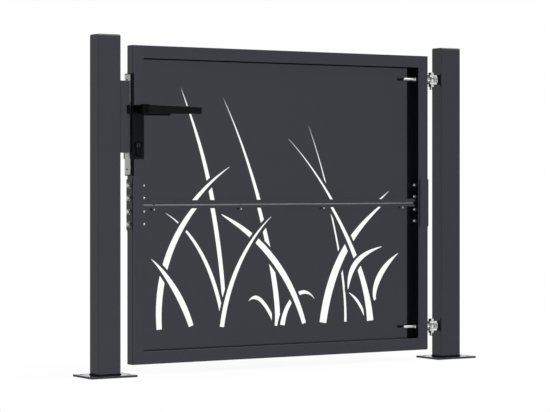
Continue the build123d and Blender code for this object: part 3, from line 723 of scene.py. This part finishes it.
def hingePieces(which):
    low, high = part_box(which + "_hinge_pin")
    middle = (low + high) / 2
    seat = high.z - hingePin["head"]
    bm = bmesh.new()
    addBolt(bm, standing((middle.x, middle.y, seat), (0, 0, 1), (1, 0, 0)), hingePin, seat - low.z, False)
    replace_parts(pieceFrom(bm, which + "_hinge_pin_threaded", "posts", "zinc"), which + "_hinge_pin")

    nutLow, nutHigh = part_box(which + "_hinge_pin_nut")
    bm = bmesh.new()
    stand = standing((middle.x, middle.y, nutLow.z), (0, 0, 1), (1, 0, 0))
    addHexagon(bm, stand, hingePin["flats"], 0.0, nutHigh.z - nutLow.z, hingePin["diameter"] / 2)
    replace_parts(pieceFrom(bm, which + "_hinge_pin_nut_bevelled", "posts", "zinc"), which + "_hinge_pin_nut")

    eyeLow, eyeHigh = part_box(which + "_hinge_eye")
    half = (eyeHigh.z - eyeLow.z) / 2
    centre = (middle.x, middle.y, eyeLow.z + half)
    bm = bmesh.new()
    addEyeRing(bm, standing(centre, (0, 0, 1), (1, 0, 0)), half)
    addEyeRod(bm, standing(centre, (1, 0, 0), (0, 1, 0)), eyeLow.x - middle.x)
    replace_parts(pieceFrom(bm, which + "_hinge_eye_threaded", "leaf", "zinc"), which + "_hinge_eye")


def hingeRodNuts():
    bm = bmesh.new()
    for low, high in looseBoxes("hinge_rod_nuts"):
        middle = (low + high) / 2
        stand = standing((low.x, middle.y, middle.z), (1, 0, 0), (0, 0, 1))
        addHexagon(bm, stand, hingePin["flats"], 0.0, high.x - low.x, hingePin["diameter"] / 2)
    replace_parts(pieceFrom(bm, "hinge_rod_nuts_bevelled", "leaf", "zinc"), "hinge_rod_nuts")


hingePieces("upper")
hingePieces("lower")
hingeRodNuts()
print("hinges made")

# screws with a cross recess: on the forend, in the back handle plate and in the hinge brackets
crossScrews = {
    "forend_screws": {
        "head": 0.00275, "rim": 0.0001, "dome": 0.0, "shank": 0.0015, "neck": 0.00135,
        "arm": 0.0015, "width": 0.0003, "depth": 0.0009},
    "handle_plate_screws": {
        "head": 0.0045, "rim": 0.0002, "dome": 0.0, "shank": 0.0025, "neck": 0.0021,
        "arm": 0.0025, "width": 0.0005, "depth": 0.0016},
    "hinge_bracket_screws": {
        "head": 0.00525, "rim": 0.0, "dome": 0.0024, "shank": 0.003, "neck": 0.0001,
        "arm": 0.0027, "width": 0.0006, "depth": 0.0016},
}


def crossScrewsOf(node, body, slot, along, corner):
    sizes = crossScrews[node]
    along = Vector(along)
    bm = bmesh.new()
    for low, high in looseBoxes(node):
        length = abs(along.dot(high - low))
        top = (low + high) / 2 + along * length / 2
        stand = standing(top - along * sizes["dome"], along, corner)
        addCrossHead(bm, stand, length=length - sizes["dome"], **sizes)
    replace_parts(pieceFrom(bm, node + "_crossed", body, slot), node)


crossScrewsOf("forend_screws", "leaf", "black_steel", (-1, 0, 0), (0, 1, 0))
crossScrewsOf("handle_plate_screws", "leaf", "lock_steel", (0, 1, 0), (1, 0, 0))
crossScrewsOf("hinge_bracket_screws", "posts", "zinc", (-1, 0, 0), (0, 1, 0))
print("screws made")

# weld beads where the posts stand on their base plates
footWeld = {
    "leg": 0.0026,
    "round": 0.92,  # how much of the bead's section is round, the rest is straight
    "ripple": 0.0024,
    "rippleDepth": 0.10,
    "rippleLag": 0.35,  # lag of the ripples at the bead's edges
    "sunk": 0.0004,  # how far the bead reaches into the steel
    "corner": 0.0008,
    "cornerStep": 9,  # degrees
    "step": 0.0006,
    "rows": 6,
    "sharp": 80.0,
}


def pathRound(half):  # points round a tube's section with their outward directions
    corner = footWeld["corner"]
    reachX = half.x - corner
    reachY = half.y - corner
    runs = [
        (reachX, reachY, 0), (-reachX, reachY, 90),
        (-reachX, -reachY, 180), (reachX, -reachY, 270)]
    path = []
    for k, (x, y, start) in enumerate(runs):
        for turn in range(0, 90 + footWeld["cornerStep"], footWeld["cornerStep"]):
            a = radians(start + turn)
            out = Vector((cos(a), sin(a)))
            path.append((Vector((x + corner * cos(a), y + corner * sin(a))), out))
        nextX, nextY, nextStart = runs[(k + 1) % len(runs)]
        a = radians(nextStart)
        out = Vector((cos(a), sin(a)))
        finish = Vector((nextX, nextY)) + corner * out
        begin = path[-1][0]
        count = int((finish - begin).length / footWeld["step"])
        for i in range(1, count):
            path.append((begin.lerp(finish, i / count), out))
    return path


def footWeldOf(post):
    low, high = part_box(post + "_tube")
    middle = (low + high) / 2
    path = pathRound((high - low) / 2)
    count = footWeld["rows"]
    sunk = footWeld["sunk"]
    bm = bmesh.new()
    rows = []
    travelled = 0.0
    for k, (point, out) in enumerate(path):
        travelled += (point - path[k - 1][0]).length if k else 0.0
        row = []
        for t in range(count + 1):  # round-faced bead from the tube down to the plate
            a = pi / 2 * t / count
            wave = travelled / footWeld["ripple"] + footWeld["rippleLag"] * sin(2 * a)
            leg = footWeld["leg"] * (1 + footWeld["rippleDepth"] * sin(2 * pi * wave))
            reach = leg * (sin(a) * footWeld["round"] + (1 - footWeld["round"]) * (t / count))
            rise = leg * (cos(a) * footWeld["round"] + (1 - footWeld["round"]) * (1 - t / count))
            spot = point + out * (reach - sunk)
            row.append(bm.verts.new((middle.x + spot.x, middle.y + spot.y, low.z + rise - sunk)))
        rows.append(row)
    for k in range(len(rows)):
        near, far = rows[k], rows[(k + 1) % len(rows)]
        for t in range(count):
            bm.faces.new((near[t], near[t + 1], far[t + 1], far[t]))
    pieceFrom(bm, post + "_foot_weld", "posts", "coated_steel", footWeld["sharp"])


footWeldOf("lock_post")
footWeldOf("hinge_post")
print("foot welds made")

# camera at the photograph's viewing angle, for an image of 550 by 412
cameraPlace = {
    "position": (-2.79809, -4.38088, 0.459966),
    "turn": 32.3154,  # degrees from the gate's front towards its lock side
    "lens": 138.577,
    "sensor": 36.0,
    "shift": -0.0484,
    "reach": 100.0,
}


def makeCamera():
    data = bpy.data.cameras.new("gate_camera")
    data.sensor_width = cameraPlace["sensor"]
    data.lens = cameraPlace["lens"]
    data.shift_y = cameraPlace["shift"]
    data.clip_end = cameraPlace["reach"]
    camera = bpy.data.objects.new("gate_camera", data)
    camera.location = cameraPlace["position"]
    camera.rotation_euler = (radians(90), 0, -radians(cameraPlace["turn"]))
    scene.collection.objects.link(camera)
    scene.camera = camera


# white studio with an even sky for soft light
# What the coat mirrors is dimmer to the left, overhead, above the front screen and beside the camera.
# Ranges are shares of the direction's X, Y or Z, where a change starts and where it is full.
studio = {
    "sky": 0.33,
    "acrossRange": (-0.40, 0.45),  # X, from the left level to the right one
    "backRange": (-0.6, 0.6),  # Y, from the front level to the back one
    "leftFront": 0.55,
    "leftBack": 0.47,
    "leftRise": 0.13,  # brighter again towards the far left
    "leftRange": (-0.46, -0.61),
    "rightFall": 0.20,
    "rightRange": (0.46, 0.61),
    "backRight": 0.92,
    "highFall": 0.30,
    "highRange": (0.10, 0.52),
    "screenFall": 0.62,  # the white screen in front ends a little above the posts
    "screenTop": (0.070, 0.082),
    "flag": 0.86,  # a dark flag beside the camera
    "flagSide": (-0.556, -0.831),
    "flagRange": (0.955, 0.992),  # how far the direction points to that side
    "floorColour": colour(0.93, 0.93, 0.93),
    "floorShadow": 0.09,  # how much of the shadow the floor shows
    "shadowReach": (0.12, 0.62),  # full within the first distance from the gate, none past the second
    "shadowSquash": 0.6,  # distances along the gate count this much
    "floorSize": 40.0,
    "floorDrop": 0.0004,
    "lampTarget": (0, 0, 0.4),
}
lamps = {
    "key_lamp": {"place": (-2.6, -3.2, 3.0), "size": (2.6, 2.0), "watts": 50.0, "mirrored": False},
    "fill_lamp": {"place": (3.0, -2.6, 2.2), "size": (2.0, 2.0), "watts": 20.0, "mirrored": False},
    "back_lamp": {"place": (0.4, 3.2, 2.8), "size": (2.6, 1.6), "watts": 20.0, "mirrored": False},
    "top_lamp": {"place": (2.3, -1.35, 3.95), "size": (5.6, 3.4), "watts": 220.0, "mirrored": True},
}


def whereSeen(wire):  # the camera's rays, and 1 where they, a reflection or glass look at the background
    camera = wire.node("LightPath", out="Is Camera Ray")
    seen = camera + camera.other("Is Glossy Ray") + camera.other("Is Transmission Ray")
    return camera, seen.within(0.0, 1.0)


def mirroredSky(wire):  # brightness of the sky in a glossy surface, by direction
    across = wire.node("SeparateXYZ", None, {"Vector": wire.node("TexCoord", out="Generated")}, out="X")
    back = across.other("Y").within(*studio["backRange"])
    behind = studio["leftBack"] + studio["leftRise"] * across.within(*studio["leftRange"])
    left = studio["leftFront"] + (behind - studio["leftFront"]) * back
    farRight = across.within(*studio["rightRange"]) * (1 - back)
    right = 1 - studio["rightFall"] * farRight - (1 - studio["backRight"]) * back
    level = left + (right - left) * across.within(*studio["acrossRange"])
    toFlag = studio["flagSide"][0] * across + studio["flagSide"][1] * across.other("Y")
    level = level * (1 - studio["flag"] * toFlag.within(*studio["flagRange"]))
    rise = across.other("Z")
    level = level * (1 - studio["screenFall"] * rise.within(*studio["screenTop"]) * (1 - back))
    return level * (1 - studio["highFall"] * rise.within(*studio["highRange"]))


def makeSky():
    world = bpy.data.worlds.new("studio")
    world.use_nodes = True
    world.node_tree.nodes.clear()
    wire = Wire(world.node_tree)
    camera, seen = whereSeen(wire)
    shown = camera + (1 - camera) * mirroredSky(wire)
    strength = seen * shown + (1 - seen) * studio["sky"]
    light = wire.node("Background", None, {"Color": colour(1, 1, 1), "Strength": strength})
    wire.node("OutputWorld", None, {"Surface": light})
    scene.world = world


def floorFinish():
    material, wire, place = finishNamed("studio_floor")
    seen = whereSeen(wire)[1]
    paper = wire.node("BsdfDiffuse", None, {"Color": studio["floorColour"]})
    white = wire.node("Emission", None, {"Color": colour(1, 1, 1), "Strength": 1.0})
    across = wire.node("SeparateXYZ", None, {"Vector": place}, out="X")
    distance = ((across * studio["shadowSquash"]) ** 2 + across.other("Y") ** 2) ** 0.5
    near = 1 - distance.within(*studio["shadowReach"])
    factor = seen * (1 - studio["floorShadow"] * near)
    both = wire.node("MixShader", None, {0: factor, 1: paper, 2: white})
    wire.node("OutputMaterial", None, {"Surface": both})
    return material


def makeFloor():
    bm = bmesh.new()
    bmesh.ops.create_grid(bm, x_segments=1, y_segments=1, size=studio["floorSize"] / 2)
    mesh = bpy.data.meshes.new("studio_floor")
    bm.to_mesh(mesh)
    bm.free()
    mesh.materials.append(floorFinish())
    floor = bpy.data.objects.new("studio_floor", mesh)
    floor.location.z = -studio["floorDrop"]
    floor.visible_glossy = False  # the sky below it is what the coat mirrors
    scene.collection.objects.link(floor)


def makeLamps():
    target = Vector(studio["lampTarget"])
    for name, lamp in lamps.items():
        data = bpy.data.lights.new(name, "AREA")
        data.shape = "RECTANGLE"
        data.size, data.size_y = lamp["size"]
        data.energy = lamp["watts"]
        light = bpy.data.objects.new(name, data)
        light.location = lamp["place"]
        light.rotation_euler = (target - Vector(lamp["place"])).to_track_quat("-Z", "Y").to_euler()
        light.visible_glossy = lamp["mirrored"]
        light.visible_camera = False
        scene.collection.objects.link(light)


makeCamera()
makeSky()
makeFloor()
makeLamps()
print("camera and studio set")
